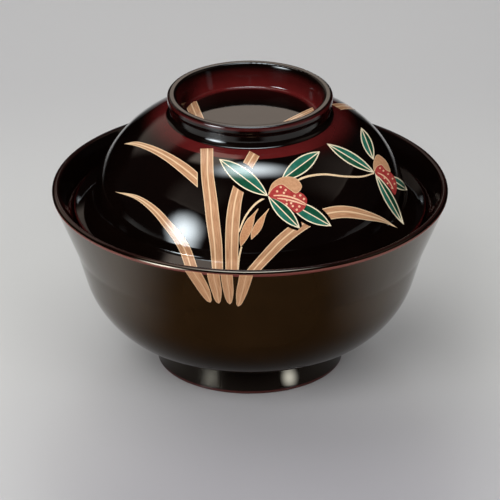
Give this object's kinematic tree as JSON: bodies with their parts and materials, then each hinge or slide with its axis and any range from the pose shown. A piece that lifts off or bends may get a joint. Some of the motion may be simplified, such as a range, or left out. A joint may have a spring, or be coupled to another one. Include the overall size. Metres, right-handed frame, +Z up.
{
  "type": "lacquer soup bowl with lid",
  "caption": "Round lacquered wooden soup bowl on a ring foot, with a flared lip and a domed lift-off lid that has a ring grip and painted orchids.",
  "frame": {"origin": "centre of the bowl's foot, on the surface it stands on", "axes": "+Z up along the turning axis, the painted front faces -Y, +X to the right of a viewer at the front"},
  "size_m": [0.124, 0.1242, 0.0902],
  "materials": {
    "turned_wood": "turned and primed hardwood",
    "dark_lacquer": "brown-black gloss over red, with red showing at the edges",
    "gold_paint": "gold powder bound in lacquer, low relief",
    "green_paint": "green lacquer with pale gold outlines",
    "tan_paint": "tan gold lacquer",
    "red_paint": "red lacquer with pale spots"
  },
  "bodies": {
    "bowl": {"bowl_core": "turned_wood", "bowl_outer_coat": "dark_lacquer", "bowl_inner_coat": "dark_lacquer", "bowl_sole_coat": "dark_lacquer", "bowl_gold_blades": "gold_paint"},
    "lid": {"lid_core": "turned_wood", "lid_outer_coat": "dark_lacquer", "lid_inner_coat": "dark_lacquer", "lid_gold_blades": "gold_paint", "lid_back_blade": "gold_paint", "ring_well_blades": "gold_paint", "lid_gold_stems": "gold_paint", "lid_gold_buds": "gold_paint", "lid_green_sepals": "green_paint", "lid_tan_petals": "tan_paint", "lid_red_lips": "red_paint"}
  },
  "joints": [
    {"name": "lid_lift", "type": "slide", "parent": "bowl", "child": "lid", "axis": [0, 0, 1], "range_m": [0, 0.09]}
  ]
}
